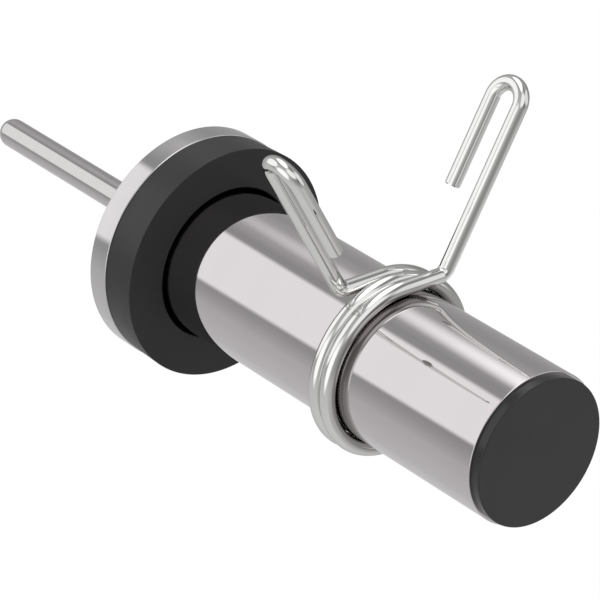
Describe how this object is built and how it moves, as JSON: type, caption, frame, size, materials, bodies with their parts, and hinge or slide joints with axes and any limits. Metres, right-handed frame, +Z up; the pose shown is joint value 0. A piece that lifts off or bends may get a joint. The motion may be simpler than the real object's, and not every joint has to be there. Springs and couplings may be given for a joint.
{
  "type": "magnetic loading pin",
  "caption": "Stack pin with a magnetic steel disc, a rubber bumper ring, a round capped sleeve for bored weight plates and a sliding bent wire spring collar.",
  "frame": {"origin": "on the pin's axis, on the disc's magnet face, where the pin comes out of it", "axes": "+X along the sleeve towards its cap, the pin points to -X, +Z up between the collar's handles"},
  "size_m": [0.2734, 0.098, 0.1245],
  "materials": {
    "sleeve_chrome": "polished chrome plate on the sleeve",
    "pin_steel": "polished plated steel of the stack pin",
    "disc_steel": "bright plated steel of the disc",
    "collar_chrome": "bright chrome plated spring wire",
    "magnet_nickel": "nickel plated magnets",
    "zinc_steel": "zinc plated fasteners",
    "weld_steel": "bare weld bead",
    "rubber": "matt black rubber with a fine dull skin",
    "cap_plastic": "satin black moulded plastic"
  },
  "bodies": {
    "pin_body": {"stack_pin": "pin_steel", "steel_disc": "disc_steel", "rubber_bumper": "rubber", "sleeve_tube": "sleeve_chrome", "sleeve_weld": "weld_steel", "pin_washer": "zinc_steel", "lock_washer": "zinc_steel", "pin_nut": "zinc_steel", "end_cap": "cap_plastic", "magnet_1": "magnet_nickel", "magnet_screw_1": "zinc_steel", "magnet_2": "magnet_nickel", "magnet_screw_2": "zinc_steel", "magnet_3": "magnet_nickel", "magnet_screw_3": "zinc_steel", "magnet_4": "magnet_nickel", "magnet_screw_4": "zinc_steel", "magnet_5": "magnet_nickel", "magnet_screw_5": "zinc_steel", "magnet_6": "magnet_nickel", "magnet_screw_6": "zinc_steel"},
    "collar": {"spring_collar": "collar_chrome"}
  },
  "joints": [
    {"name": "collar_slide", "type": "slide", "parent": "pin_body", "child": "collar", "axis": [1, 0, 0], "range_m": [-0.0724, 0.08]}
  ]
}
